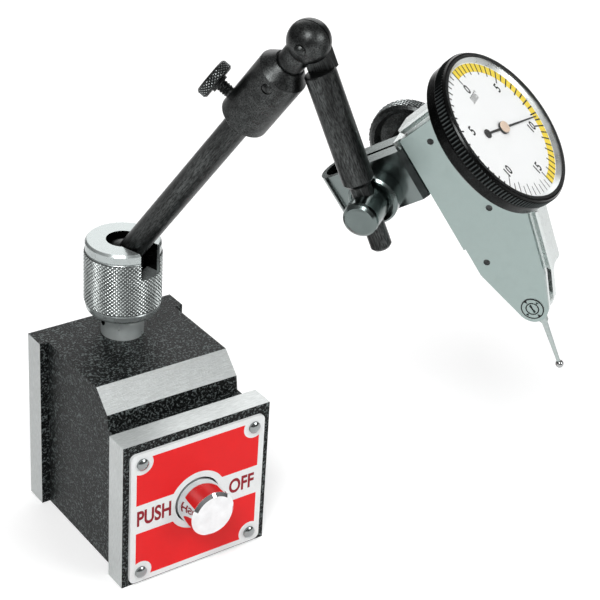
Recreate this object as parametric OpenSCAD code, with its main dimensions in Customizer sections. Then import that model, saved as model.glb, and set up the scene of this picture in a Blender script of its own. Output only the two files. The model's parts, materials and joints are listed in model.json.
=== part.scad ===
// Magnetic dial indicator stand: switchable magnet base, ball swivel, jointed arm, lever indicator.
// Millimetres. Origin at the middle of the base's underside, front label face towards -Y, Z up.

/* [Base block] */
// width of the two pole plates
base_w = 42.3; // [40:0.1:46]
// depth over both pole plates
base_d = 48.4; // [47:0.1:52]
// height of the back plate and the housing
base_h = 49.1; // [48:0.1:52]
// height of the front plate
front_h = 41.8; // [41:0.1:43]
// thickness of the front plate
front_t = 6.6; // [5.5:0.1:7]
// thickness of the back plate
back_t = 6.4; // [6:0.1:7]
// width of the housing between the plates
body_w = 37.6; // [36.5:0.1:39]
// height of the switch axis
switch_z = 20.1; // [19.5:0.1:20.6]

/* [Magnet switch] */
// diameter of the push button
button_d = 12.3; // [11:0.1:12.6]
// how far the button stands out when on
button_out = 8.6; // [8:0.1:9.4]
// travel of the switch
switch_travel = 6.5; // [5:0.1:6.8]
// diameter of the magnet
magnet_d = 23.8; // [20:0.1:24]

/* [Swivel] */
// stem axis in front of the back plate
stem_in = 3.9; // [3.7:0.1:4.6]
// stem axis to the right of the middle
stem_x = 0.6; // [-2:0.1:2]
// visible stem diameter
stem_d = 11.1; // [10:0.1:11.4]
// height of the ball centre
ball_z = 69.8; // [69:0.1:71]
// ball radius
ball_r = 5.3; // [5.1:0.05:5.4]
// knurled nut diameter
nut_d = 19.9; // [19:0.1:21]
// nut bottom height
nut_z0 = 55.5; // [54.5:0.1:57]
// nut top height
nut_z1 = 75.6; // [74.6:0.1:76]

/* [Arm] */
// post diameter
post_d = 6.35; // [6:0.05:6.4]
// ball centre to elbow axis
post_length = 89.6; // [88:0.1:95]
// sleeve diameter
sleeve_d = 12; // [11.5:0.1:13]
// radius of the elbow half ball
elbow_r = 5; // [4.8:0.1:5.1]
// lower arm diameter
arm_d = 7.4; // [7:0.1:7.6]
// thin rod diameter
thin_d = 5; // [4.6:0.05:5.1]
// elbow axis to the end of the thin rod
arm_length = 52.5; // [50:0.1:60]
// elbow axis to the snug
snug_pos = 42; // [41.6:0.1:44]

/* [Indicator] */
// bezel diameter
bezel_d = 38.8; // [38.2:0.1:39.4]
// thickness of the indicator body
case_t = 8; // [7.8:0.1:8.4]
// contact length from the pivot to the ball
contact_length = 18.5; // [14:0.1:22]
// contact ball diameter
tip_d = 2; // [1:0.1:3]

/* [Pose as pictured] */
// direction of the nut's slot
slot_azimuth = -72; // [-90:1:-50]
// lean of the post from vertical
post_tilt = 36.06; // [30:0.02:40]
// turn of the elbow about the post
elbow_swivel = 15.1; // [0:0.1:30]
// angle from post to lower arm
elbow_angle = 124.4; // [90:0.1:125]
// turn of the snug about the thin rod
snug_turn = 85.6; // [75:0.1:95]
// turn of the clamp about its bolt
clamp_turn = -12.5; // [-25:0.1:0]
// turn of the contact in its lever
contact_turn = 10.4; // [0:0.1:25]
// turn of the pointer on the dial
pointer_turn = 339; // [0:1:359]

/* [Hidden] */
$fn = 48;
eps = 0.02;
fit = 0.05;

// base
y_front = -base_d / 2;
y_back = base_d / 2;
y_body0 = y_front + front_t;
y_body1 = y_back - back_t;
stem_y = y_body1 - stem_in;
slope_y1 = -7;
slope_y0 = -12.4;
slope_z0 = base_h - 5.2;
groove_z = front_h - 1.8;
liner_t = 1.1;
bore_r = magnet_d / 2 + liner_t + fit;
core_y0 = y_body0 + 0.2;
core_len = y_body1 - y_body0 - switch_travel - 0.4;
core_y1 = core_y0 + core_len;
disc_t = 6;
plunger_d = 12;
tie_d = 5;
bolt_x = 14.8;
bolt_z = [7, 34.5];
bolt_tip = y_front + 3.2;
screw_in = 2.4;
label_w = 38.7;
label_h = 38.4;
label_t = 0.8;
label_gap = 0.35;
label_z = switch_z;
screw_s = 16.2;
stud_d = 6.35;
tommy_d = 2.6;

// swivel
thread_r = 6.7;
knurl_h = 0.25;
nut_r = nut_d / 2 - knurl_h;
band_r = nut_d / 2 - 0.3;
slot_w = post_d + 0.65;
slot_drop = 1.6;
slot_floor = ball_z - slot_drop;
band_h = 2.5;
top_hole_r = 4.4;
stem_top = ball_z - 3.8;

// sleeve, its distances taken down the post from the elbow axis
sleeve_foot = 30.5;
sleeve_step = 30;
sleeve_cone = 27.8;
sleeve_shoulder = 10.8;
sleeve_top = 8;
post_end = 17.4;
stub_end = 17;
screw_below = 13;
thumb_below = 25.4;
post_top = post_length - post_end;
pin_s = post_length - screw_below;
thumb_s = post_length - thumb_below;
thumb_az = 196.8;
foot_r = 3.8;
edge = 0.3;
stub_room = 0.2;
screw_r = 1;
screw_head_r = 1.3;
pad_r = 1.3;
thumb_r = 4.5;
thumb_x0 = 9.3;
thumb_t = 2.7;
thumb_tip = 4.4;
thumb_collar_r = 2.2;
neck_r = 3.25;
neck_rim = 0.45;
groove_r = 2.6;
screw_sunk = 0.7;
half_gap = 0.15;
lap = elbow_r + 1.35;
groove_h = 2;
pin_r = 1.2;
pin_head_r = 1.4;
pin_seat = 0.3 - elbow_r;

// lower arm
arm_r = arm_d / 2;
arm_z0 = 7.4;
arm_z1 = 35.6;

// snug and clamp, along the bolt
bolt_head_x = -6.5;
bolt_r = 4.25;
head_round = 1.4;
shank_r = 2.5;
collar_x0 = 2.75;
collar_r = 6;
collar_bevel = 0.5;
recess_r = 5.1;
recess_t = 0.8;
clamp_x0 = 7.2;
clamp_x1 = 17.6;
mid_x = (clamp_x0 + clamp_x1) / 2;
slit_w = 1.2;
loop_y = -8.2;
loop_r = 3.9;
clamp_z0 = -7.5;
clamp_z1 = 5.5;
jaw_gap = 0.2;
jaw_bevel = [1.1, 1.3];
knob_x0 = 30.3;
knob_x1 = 34.7;
knob_r = 10.1;

// indicator body, in lengths (z) and heights above the bolt axis (y)
case_x0 = mid_x - case_t / 2;
case_x1 = mid_x + case_t / 2;
cover_t = 1.2;
frame_x0 = case_x0 + cover_t;
rail_y = 10.9;
belly_y = 11.6;
rail_h = 2.1;
rail_neck = 2.2;
rail_lip = 3.15;
rail_flat = 0.4;
rail_edge = 0.6;
rail_root = 0.3;
rail_clear = 0.06;
rail_z0 = -9.1;
rail_z1 = 5.3;
rear_len = 12.5;
front_rail = [30.2, 17.1];
front_rail_end = [26, 33.9];
front_tilt = atan2(front_rail[0] - front_rail_end[0], front_rail_end[1] - front_rail[1]);
front_len = norm(front_rail_end - front_rail);
cover_lift = 0.15;
cover_step = 21.3;
pins = [[17.8, -6.5], [14.7, 26.1], [22.3, 13.4]];
cover_pin_r = 0.77;
pivot_y = 19;
pivot_z = 41;
nose_r = 3.7;
cap_r = 2.6;
dial_tilt = 13.92;
seat_y = 26.93;
seat_z = -0.38;
seat_gap = 2.6;
bezel_r = bezel_d / 2;
bezel_top = 4.8;
bezel_z0 = -0.8;
bezel_wall = 0.9;
rib_z0 = 1.8;
rib_h = 0.25;
case_z0 = -0.6;
case_z1 = 3.1;
face_z = 3.2;
face_t = 0.4;
crystal_z = 4.65;
crystal_t = 0.45;
ring_slope = 1.4;
pointer_z = 3.75;
pointer_t = 0.15;
pointer_len = 15.7;
tail_len = 6.9;
tail_r = 1.1;
boss_r = 1.5;
boss_h = 0.45;
arbor_r = 0.5;
cap_h = 0.35;
hub_r = 2.9;
hub_neck_r = 1.8;
eye_r = 2.8;
eye_t = 1.3;
lever_foot = 6;
hub_x0 = mid_x - 1.5;
hub_x1 = mid_x + 1.5;
fork_x0 = hub_x0 - 0.1;
fork_x1 = hub_x1 + 0.1;
crown_r = 4.5;
centre_r = 0.75;
centre_s = 2.6;
crown_y = seat_y - cos(dial_tilt) * (centre_s + crown_r);
crown_z = seat_z + sin(dial_tilt) * (centre_s + crown_r);
lever_len = norm([crown_y - pivot_y, crown_z - pivot_z]);
lever_aim = atan2(crown_y - pivot_y, pivot_z - crown_z);
pinion_r = 1.5;
sector_r = lever_len - pinion_r;
tooth = 0.22;

rear_top = rail_z0 - rear_len * sin(dial_tilt);
function seat_line(z) = seat_y + (z - seat_z) * tan(dial_tilt);
upper_edge = [
  [seat_line(rear_top), rear_top], [seat_line(13.1), 13.1], front_rail, front_rail_end,
  for (a = [14, 33, 52, 71, 90, 109, 128, 147, 165]) [pivot_y + nose_r * cos(a), pivot_z + nose_r * sin(a)],
  [belly_y, 28.8], [belly_y, cover_step]
];
outline = concat([[rail_y, rail_z0]], upper_edge, [[rail_y, cover_step]]);
cover_outline = concat(
  [[rail_y + cover_lift, rail_z0]], upper_edge, [[rail_y + cover_lift, cover_step]]
);
pocket = [
  [14.4, -7.4], [seat_line(-9.9) - 1.5, -9.9], [seat_line(12.4) - 1.5, 12.4], [27.8, 16.6], [24, 32.4],
  [22, 36], [16.6, 36], [14.4, 28.4]
];
bridge = [[15.2, -6.6], [21.4, -8.6], [25, 4], [22.4, 8.4], [15.2, 8.4]];

// places along the chain, each in the frame of the one before
module at_stem() { translate([stem_x, stem_y, 0]) children(); }
module at_ball() {
  translate([stem_x, stem_y, ball_z]) rotate([0, 0, slot_azimuth]) rotate([0, post_tilt, 0]) children();
}
module at_sleeve() { at_ball() rotate([0, 0, elbow_swivel]) children(); }
module at_elbow() { at_sleeve() translate([0, 0, post_length]) children(); }
module at_arm() { at_elbow() rotate([0, elbow_angle, 0]) children(); }
module at_snug() { at_arm() translate([0, 0, snug_pos]) rotate([0, 0, snug_turn]) children(); }
module at_clamp() { at_snug() rotate([clamp_turn, 0, 0]) children(); }
module at_pivot() { at_clamp() translate([mid_x, pivot_y, pivot_z]) children(); }
module at_crown() { at_clamp() translate([0, crown_y, crown_z]) children(); }
module at_dial() {
  at_clamp() translate([mid_x, seat_y, seat_z]) rotate([-90 - dial_tilt, 0, 0]) translate([0, 0, seat_gap])
    children();
}

// shapes used more than once
module along_x(x0, x1, r) { translate([x0, 0, 0]) rotate([0, 90, 0]) cylinder(h = x1 - x0, r = r); }
module along_y(y0, y1, r) { translate([0, y0, 0]) rotate([-90, 0, 0]) cylinder(h = y1 - y0, r = r); }
module plate_x(x0, x1) {
  translate([x0, 0, 0]) rotate([90, 0, 90]) linear_extrude(x1 - x0) children();
}
module box(p0, p1) { translate(p0) cube(p1 - p0); }
module toothed(r, n, depth) {
  polygon([
    for (i = [0:2 * n - 1]) let (a = 180 * i / n, q = i % 2 == 0 ? r : r - depth) [q * cos(a), q * sin(a)]
  ]);
}

// base block
module front_plate() {
  color([0.12, 0.12, 0.12]) difference() {
    box([-base_w / 2, y_front, 0], [base_w / 2, y_body0, front_h]);
    translate([0, 0, switch_z]) along_y(y_front - 1, y_body0 + 1, button_d / 2 + fit);
    for (x = [-bolt_x, bolt_x]) for (z = bolt_z)
      translate([x, 0, z]) along_y(bolt_tip - 0.3, y_body0 + 1, 2.05);
    for (x = [-screw_s, screw_s]) for (z = [-screw_s, screw_s])
      translate([x, 0, label_z + z]) along_y(y_front - 1, y_front + screw_in + 0.2, 0.75);
  }
}
module back_plate() {
  color([0.6, 0.6, 0.6]) difference() {
    box([-base_w / 2, y_body1, 0], [base_w / 2, y_back, base_h]);
    translate([0, 0, switch_z]) along_y(y_body1 - 1, y_back + 1, plunger_d / 2 + fit);
    for (x = [-bolt_x, bolt_x]) for (z = bolt_z) translate([x, 0, z]) {
      along_y(y_body1 - 1, y_back + 1, 2.2);
      along_y(y_back - 4.2, y_back + 1, 3.7);
    }
  }
}
module housing() {
  color([0.1, 0.1, 0.1]) difference() {
    plate_x(-body_w / 2, body_w / 2) polygon([
      [y_body0, 0], [y_body1, 0], [y_body1, base_h], [slope_y1, base_h],
      [slope_y0, slope_z0], [slope_y0 - 0.6, groove_z], [y_body0, groove_z]
    ]);
    translate([0, 0, switch_z]) along_y(y_body0 - 1, y_body1 + 1, bore_r);
    at_stem() translate([0, 0, base_h - 9]) cylinder(h = 10, r = stud_d / 2 + eps);
    for (x = [-bolt_x, bolt_x]) for (z = bolt_z)
      translate([x, 0, z]) along_y(y_body0 - 1, y_body1 + 1, 2.2);
  }
}
module label_plate() {
  c = 1.6;
  w = label_w / 2;
  h = label_h / 2;
  color([0.8, 0.1, 0.1]) translate([0, y_front - label_t, label_z]) rotate([-90, 0, 0]) linear_extrude(label_t)
    difference() {
      union() {
        square([label_w - 2 * c, label_h], center = true);
        square([label_w, label_h - 2 * c], center = true);
        for (x = [c - w, w - c]) for (y = [c - h, h - c]) translate([x, y]) circle(r = c);
      }
      circle(r = button_d / 2 + label_gap);
      for (x = [-screw_s, screw_s]) for (y = [-screw_s, screw_s]) translate([x, y]) circle(r = 0.8);
    }
}
module label_screws() {
  color([0.75, 0.75, 0.75]) for (x = [-screw_s, screw_s]) for (z = [-screw_s, screw_s])
    translate([x, 0, label_z + z]) {
      along_y(y_front - label_t - 0.35, y_front + screw_in, 0.7);
      along_y(y_front - label_t - 0.4, y_front - label_t, 1.6);
      intersection() {
        translate([0, y_front - label_t + 1.27, 0]) sphere(r = 2.35);
        along_y(y_front - label_t - 2, y_front - label_t - 0.38, 1.6);
      }
    }
}
module plate_bolts() {
  color([0.2, 0.2, 0.2]) for (x = [-bolt_x, bolt_x]) for (z = bolt_z) translate([x, 0, z]) difference() {
    union() {
      along_y(bolt_tip, y_back - 4, 2);
      along_y(y_back - 4.2, y_back - 0.3, 3.5);
    }
    translate([0, y_back - 2.4, 0]) rotate([-90, 0, 0]) cylinder(h = 4, r = 1.75, $fn = 6);
  }
}
module core_liner() {
  color([0.8, 0.65, 0.3]) translate([0, 0, switch_z]) difference() {
    along_y(y_body0 + 0.05, y_body1 - 0.05, bore_r - eps);
    along_y(y_body0 - 1, y_body1 + 1, magnet_d / 2 + fit);
  }
}
module swivel_stem() {
  color([0.85, 0.85, 0.86]) at_stem() difference() {
    union() {
      translate([0, 0, base_h - 8.6]) cylinder(h = 9, r = stud_d / 2);
      translate([0, 0, base_h]) cylinder(h = nut_z0 + 1.6 - base_h, r = stem_d / 2);
      translate([0, 0, nut_z0 + 1.5]) cylinder(h = stem_top - nut_z0 - 1.5, r = thread_r);
    }
    translate([0, 0, ball_z]) sphere(r = ball_r + fit);
    translate([0, 0, base_h + 4.1]) rotate([0, 0, 172]) along_x(-10, 10, tommy_d / 2);
  }
}

// magnet switch
module push_button() {
  color([0.9, 0.9, 0.9]) translate([0, 0, switch_z]) difference() {
    union() {
      along_y(y_front - button_out + 0.8, core_y0, button_d / 2);
      translate([0, y_front - button_out, 0]) rotate([-90, 0, 0])
        cylinder(h = 0.82, r1 = button_d / 2 - 0.8, r2 = button_d / 2);
    }
    along_y(core_y0 - 8, core_y0 + 1, tie_d / 2 + eps);
  }
}
module magnet() {
  color([0.35, 0.35, 0.37]) translate([0, 0, switch_z]) difference() {
    along_y(core_y0 + disc_t, core_y1 - disc_t, magnet_d / 2);
    along_y(core_y0, core_y1, tie_d / 2 + eps);
  }
}
module pole_discs() {
  color([0.55, 0.55, 0.55]) translate([0, 0, switch_z])
    for (y = [core_y0, core_y1 - disc_t]) difference() {
      along_y(y, y + disc_t, magnet_d / 2);
      along_y(y - 1, y + disc_t + 1, tie_d / 2 + eps);
    }
}
module core_rod() {
  color([0.75, 0.6, 0.3]) translate([0, 0, switch_z]) along_y(core_y0 - 7.6, core_y1 + 6.6, tie_d / 2);
}
module rear_plunger() {
  color([0.8, 0.8, 0.8]) translate([0, 0, switch_z]) difference() {
    union() {
      along_y(core_y1, y_back - 1, plunger_d / 2);
      translate([0, y_back - 1.02, 0]) rotate([-90, 0, 0])
        cylinder(h = 0.82, r1 = plunger_d / 2, r2 = plunger_d / 2 - 0.8);
    }
    along_y(core_y1 - 1, core_y1 + 7, tie_d / 2 + eps);
  }
}

// ball swivel
module swivel_nut() {
  color([0.88, 0.88, 0.9]) at_stem() rotate([0, 0, slot_azimuth]) difference() {
    rotate_extrude() polygon([
      [0, nut_z0], [band_r - 1.9, nut_z0], [band_r - 0.9, nut_z0 + 0.4], [band_r - 0.25, nut_z0 + 1.2],
      [band_r, nut_z0 + band_h], [nut_r - 0.2, nut_z0 + band_h + 0.3], [nut_r, nut_z0 + band_h + 0.6],
      [nut_r, nut_z1 - band_h - 0.6], [nut_r - 0.2, nut_z1 - band_h - 0.3], [band_r, nut_z1 - band_h],
      [band_r, nut_z1 - 0.6], [band_r - 0.5, nut_z1], [0, nut_z1]
    ]);
    translate([0, 0, nut_z0 - 1]) cylinder(h = stem_top + 0.3 - nut_z0 + 1, r = thread_r + fit);
    translate([0, 0, stem_top]) cylinder(h = ball_z - stem_top, r = ball_r + 0.6);
    translate([0, 0, ball_z]) sphere(r = ball_r + fit);
    translate([0, 0, ball_z]) cylinder(h = 20, r = top_hole_r);
    translate([0, -slot_w / 2, slot_floor]) cube([20, slot_w, 20]);
  }
}
module post() {
  color([0.1, 0.1, 0.1]) at_ball() {
    sphere(r = ball_r);
    cylinder(h = post_top - 0.5, r = post_d / 2);
    translate([0, 0, post_top - 0.52]) cylinder(h = 0.52, r1 = post_d / 2, r2 = post_d / 2 - 0.5);
  }
}

// sleeve and thumb screw
module sleeve() {
  r = sleeve_d / 2;
  color([0.12, 0.12, 0.13]) at_sleeve() translate([0, 0, post_length]) difference() {
    rotate_extrude() polygon([
      [0, -sleeve_foot], [foot_r - edge, -sleeve_foot], [foot_r, edge - sleeve_foot], [foot_r, -sleeve_step],
      [r, -sleeve_cone], [r, -sleeve_shoulder], [neck_r + neck_rim, -sleeve_top], [0, -sleeve_top]
    ]);
    translate([0, 0, -sleeve_foot - 1])
      cylinder(h = sleeve_foot - stub_end - stub_room + 1, r = post_d / 2 + fit);
    translate([0, 0, -stub_end - stub_room - eps]) cylinder(h = stub_end, r = neck_r + fit);
    translate([0, 0, -screw_below]) rotate([90, 0, 0]) {
      cylinder(h = r + 1, r = screw_r + eps);
      translate([0, 0, r - screw_sunk]) cylinder(h = r, r = screw_head_r + fit);
    }
    translate([0, 0, -thumb_below]) rotate([0, 0, thumb_az - elbow_swivel]) along_x(0, 2 * r, pad_r + fit);
  }
}
module clamp_pad() {
  color([0.8, 0.65, 0.3]) at_sleeve() translate([0, 0, thumb_s]) rotate([0, 0, thumb_az - elbow_swivel])
    difference() {
      along_x(0, thumb_tip - 0.1, pad_r);
      translate([0, 0, -post_d]) cylinder(h = 2 * post_d, r = post_d / 2 + fit);
    }
}
module retaining_screw() {
  r = sleeve_d / 2;
  color([0.3, 0.3, 0.3]) at_sleeve() translate([0, 0, pin_s]) rotate([90, 0, 0]) {
    translate([0, 0, groove_r + 0.15]) cylinder(h = r - groove_r - screw_sunk, r = screw_r - 0.3);
    translate([0, 0, neck_r + 0.3]) cylinder(h = r - neck_r - screw_sunk, r = screw_r);
    intersection() {
      translate([0, 0, r - 1.5]) sphere(r = 1.8);
      translate([0, 0, r - screw_sunk + 0.04]) cylinder(h = r, r = screw_head_r);
    }
  }
}
module thumb_screw() {
  color([0.1, 0.1, 0.1]) at_sleeve() translate([0, 0, thumb_s]) rotate([0, 0, thumb_az - elbow_swivel]) {
    along_x(thumb_tip, thumb_x0 + edge, pad_r);
    along_x(thumb_x0 - 0.6, thumb_x0 + edge, thumb_collar_r);
    translate([thumb_x0, 0, 0]) rotate([0, 90, 0]) cylinder(h = edge, r1 = thumb_r - edge, r2 = thumb_r);
    along_x(thumb_x0 + edge, thumb_x0 + thumb_t - edge, thumb_r);
    translate([thumb_x0 + thumb_t - edge, 0, 0]) rotate([0, 90, 0])
      cylinder(h = edge, r1 = thumb_r, r2 = thumb_r - edge);
  }
}

// elbow
module upper_knuckle() {
  color([0.12, 0.12, 0.13]) at_elbow() difference() {
    union() {
      translate([0, 0, -stub_end]) cylinder(h = stub_end, r = neck_r);
      sphere(r = elbow_r);
    }
    box([-2 * elbow_r, -half_gap, -lap], [2 * elbow_r, 2 * elbow_r, 2 * elbow_r]);
    along_y(-2 * elbow_r, 2 * elbow_r, pin_r + eps);
    along_y(-2 * elbow_r, pin_seat, pin_head_r + fit);
    translate([0, 0, -screw_below - groove_h / 2]) difference() {
      cylinder(h = groove_h, r = neck_r + 1);
      translate([0, 0, -1]) cylinder(h = groove_h + 2, r = groove_r);
    }
  }
}
module elbow_pin() {
  color([0.35, 0.35, 0.36]) at_elbow() {
    along_y(-elbow_r - 0.1, 5, pin_r);
    intersection() {
      translate([0, -elbow_r + 0.7, 0]) sphere(r = 1.7);
      along_y(-elbow_r - 2, pin_seat, pin_head_r);
    }
  }
}
module elbow_washer() {
  color([0.6, 0.6, 0.6]) at_elbow() difference() {
    along_y(-half_gap + 0.03, half_gap - 0.05, 4);
    along_y(-1, 1, pin_r + eps);
  }
}
module lower_arm() {
  color([0.1, 0.1, 0.1]) at_arm() difference() {
    union() {
      intersection() {
        along_y(half_gap, elbow_r - 0.3, elbow_r);
        sphere(r = elbow_r);
      }
      box([-3, half_gap, 0], [3, 3.4, arm_z0 + 0.5]);
      translate([0, 0, arm_z0]) cylinder(h = 0.3, r1 = arm_r - 0.3, r2 = arm_r);
      translate([0, 0, arm_z0 + 0.3]) cylinder(h = arm_z1 - arm_z0 - 1.3, r = arm_r);
      translate([0, 0, arm_z1 - 1]) cylinder(h = 1, r1 = arm_r, r2 = arm_r - 0.8);
      translate([0, 0, arm_z1 - 1]) cylinder(h = arm_length - arm_z1 + 0.4, r = thin_d / 2);
      translate([0, 0, arm_length - 0.6]) cylinder(h = 0.6, r1 = thin_d / 2, r2 = thin_d / 2 - 0.5);
    }
    along_y(-1, 10, pin_r + fit);
  }
}

// snug and dovetail clamp
module snug_bolt() {
  color([0.85, 0.85, 0.86]) at_snug() difference() {
    union() {
      translate([bolt_head_x, 0, 0]) rotate([0, 90, 0]) rotate_extrude() polygon([
        [0, 0], [bolt_r - head_round, 0], [bolt_r - 0.6 * head_round, 0.12 * head_round],
        [bolt_r - 0.15 * head_round, 0.5 * head_round], [bolt_r, head_round], [0, head_round]
      ]);
      along_x(bolt_head_x + head_round, collar_x0 + recess_t - 0.1, bolt_r);
      along_x(collar_x0, knob_x0 + 3.6, shank_r);
    }
    translate([0, 0, -10]) cylinder(h = 20, r = thin_d / 2 + fit);
  }
}
module snug_collar() {
  color([0.82, 0.82, 0.83]) at_snug() difference() {
    union() {
      translate([collar_x0, 0, 0]) rotate([0, 90, 0])
        cylinder(h = collar_bevel, r1 = collar_r - collar_bevel, r2 = collar_r);
      along_x(collar_x0 + collar_bevel, clamp_x0 - 0.1, collar_r);
    }
    along_x(0, collar_x0 + recess_t, recess_r);
    along_x(0, clamp_x0 + 1, shank_r + fit);
  }
}
module dovetail_clamp() {
  r = (clamp_x1 - clamp_x0) / 2;
  lip = rail_lip + rail_clear;
  neck = rail_neck + rail_clear;
  floor_y = rail_y - rail_h - jaw_gap;
  jaw_y = rail_y - jaw_gap;
  color([0.82, 0.82, 0.83]) at_clamp() difference() {
    translate([0, 0, clamp_z0]) linear_extrude(clamp_z1 - clamp_z0) difference() {
      union() {
        polygon([
          [clamp_x0, loop_y], [clamp_x1, loop_y], [clamp_x1, jaw_y - jaw_bevel[1]],
          [clamp_x1 - jaw_bevel[0], jaw_y], [clamp_x0 + jaw_bevel[0], jaw_y], [clamp_x0, jaw_y - jaw_bevel[1]]
        ]);
        translate([mid_x, loop_y]) circle(r = r);
      }
      translate([mid_x, loop_y]) circle(r = loop_r);
      translate([mid_x - slit_w / 2, loop_y]) square([slit_w, 40]);
      polygon([
        [mid_x - neck, rail_y + 1], [mid_x - neck, rail_y - rail_flat],
        [mid_x - lip, rail_y - rail_h + rail_edge], [mid_x - lip, floor_y],
        [mid_x + lip, floor_y], [mid_x + lip, rail_y - rail_h + rail_edge],
        [mid_x + neck, rail_y - rail_flat], [mid_x + neck, rail_y + 1]
      ]);
    }
    along_x(0, 40, shank_r + fit);
  }
}
module clamp_washer() {
  color([0.3, 0.3, 0.3]) at_clamp() difference() {
    along_x(clamp_x1 + 0.05, clamp_x1 + 0.95, 4.8);
    along_x(0, 40, shank_r + fit);
  }
}
module clamp_knob() {
  color([0.1, 0.1, 0.1]) at_clamp() difference() {
    union() {
      along_x(clamp_x1 + 1.05, knob_x0 + 3.4, 4.4);
      translate([knob_x0, 0, 0]) rotate([0, 90, 0]) cylinder(h = 0.6, r1 = knob_r - 0.6, r2 = knob_r);
      along_x(knob_x0 + 0.6, knob_x1 - 0.6, knob_r);
      translate([knob_x1 - 0.6, 0, 0]) rotate([0, 90, 0]) cylinder(h = 0.6, r1 = knob_r, r2 = knob_r - 0.6);
    }
    difference() {
      translate([knob_x0 - 0.1, 0, 0]) rotate([0, 90, 0])
        cylinder(h = 2.1, r1 = knob_r - 1.3, r2 = knob_r - 2.4);
      along_x(0, 60, 4.4);
    }
    along_x(0, knob_x0 + 3.8, shank_r + fit);
  }
}

// indicator body
module rail_profile() {
  polygon([
    [mid_x - rail_neck, rail_root], [mid_x - rail_neck, -rail_flat], [mid_x - rail_lip, -rail_h + rail_edge],
    [mid_x - rail_lip, -rail_h], [mid_x + rail_lip, -rail_h], [mid_x + rail_lip, -rail_h + rail_edge],
    [mid_x + rail_neck, -rail_flat], [mid_x + rail_neck, rail_root]
  ]);
}
module pin_holes() {
  for (p = pins) translate([0, p[0], p[1]]) along_x(0, frame_x0 + 1.5, cover_pin_r + 0.03);
}
module indicator_body() {
  color([0.68, 0.7, 0.7]) at_clamp() difference() {
    union() {
      plate_x(frame_x0, case_x1) polygon(outline);
      translate([0, rail_y, rail_z0]) linear_extrude(rail_z1 - rail_z0) rail_profile();
      translate([0, rail_y, rail_z0]) rotate([90 - dial_tilt, 0, 0]) translate([0, 0, 1.2 - rear_len])
        linear_extrude(rear_len - 2.4) rail_profile();
      translate([0, front_rail[0], front_rail[1]]) rotate([front_tilt, 0, 0]) translate([0, 0, 1])
        linear_extrude(front_len - 2.1) mirror([0, 1]) rail_profile();
    }
    plate_x(frame_x0 - 1, case_x1 - 1.4) polygon(pocket);
    box([fork_x0, 0, 33], [fork_x1, 40, 60]);
    translate([0, pivot_y, pivot_z]) along_x(0, 40, 1.3);
    translate([0, pivot_y, pivot_z]) along_x(case_x1 - 1.1, 40, cap_r + fit);
    translate([0, crown_y, crown_z]) along_x(0, case_x1 - 0.6, 0.55);
    translate([mid_x, seat_y, seat_z]) rotate([-90 - dial_tilt, 0, 0]) translate([0, 0, -6])
      cylinder(h = 12, r = 2);
    pin_holes();
  }
}
module side_cover() {
  color([0.68, 0.7, 0.7]) at_clamp() difference() {
    plate_x(case_x0, frame_x0 - 0.01) polygon(cover_outline);
    translate([0, pivot_y, pivot_z]) along_x(0, 40, cap_r + fit);
    pin_holes();
  }
}
module cover_pins() {
  color([0.1, 0.1, 0.1]) at_clamp() for (p = pins) translate([0, p[0], p[1]])
    along_x(case_x0 + 0.15, frame_x0 + (p[1] > 0 && p[1] < cover_step ? -0.05 : 1.2), cover_pin_r);
}
module pivot_cap_near() {
  face_x = case_x0 - 0.1;
  color([0.78, 0.78, 0.78]) at_clamp() translate([0, pivot_y, pivot_z]) difference() {
    union() {
      along_x(face_x, frame_x0 - 0.1, cap_r);
      along_x(frame_x0 - 0.2, hub_x0 + 1.1, 1.25);
    }
    difference() {
      along_x(face_x - 1, face_x + 0.25, 1.65);
      along_x(face_x - 2, face_x + 1, 1.4);
    }
    box([face_x - 1, -0.22, -1.2], [face_x + 0.4, 0.22, 1.2]);
    for (a = [60, 240]) rotate([a, 0, 0]) translate([face_x - 1, 0, cap_r - 0.55]) rotate([0, 90, 0])
      cylinder(h = 1.4, r = 0.5, $fn = 3);
  }
}
module pivot_cap_far() {
  color([0.78, 0.78, 0.78]) at_clamp() translate([0, pivot_y, pivot_z]) difference() {
    union() {
      along_x(case_x1 - 1, case_x1 + 0.1, cap_r);
      along_x(hub_x1 - 1.1, case_x1 - 0.9, 1.25);
    }
    box([case_x1 - 0.3, -0.22, -1.2], [case_x1 + 1, 0.22, 1.2]);
  }
}
module dial_case() {
  color([0.1, 0.1, 0.1]) at_dial() difference() {
    union() {
      translate([0, 0, eps - seat_gap]) cylinder(h = seat_gap, r = 4);
      translate([0, 0, case_z0]) cylinder(h = case_z1 - case_z0, r = bezel_r - bezel_wall - fit);
    }
    translate([0, 0, 1.1]) cylinder(h = 5, r = bezel_r - bezel_wall - 1.5);
    translate([0, 0, -seat_gap - 1]) cylinder(h = seat_gap + 8, r = arbor_r + 0.05);
  }
}
module movement_bridge() {
  color([0.8, 0.68, 0.35]) at_clamp() difference() {
    plate_x(frame_x0 + 0.1, frame_x0 + 0.7) polygon(bridge);
    translate([0, crown_y, crown_z]) along_x(0, 40, 0.55);
    translate([0, pins[0][0], pins[0][1]]) along_x(0, 40, cover_pin_r + 0.08);
  }
}

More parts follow.
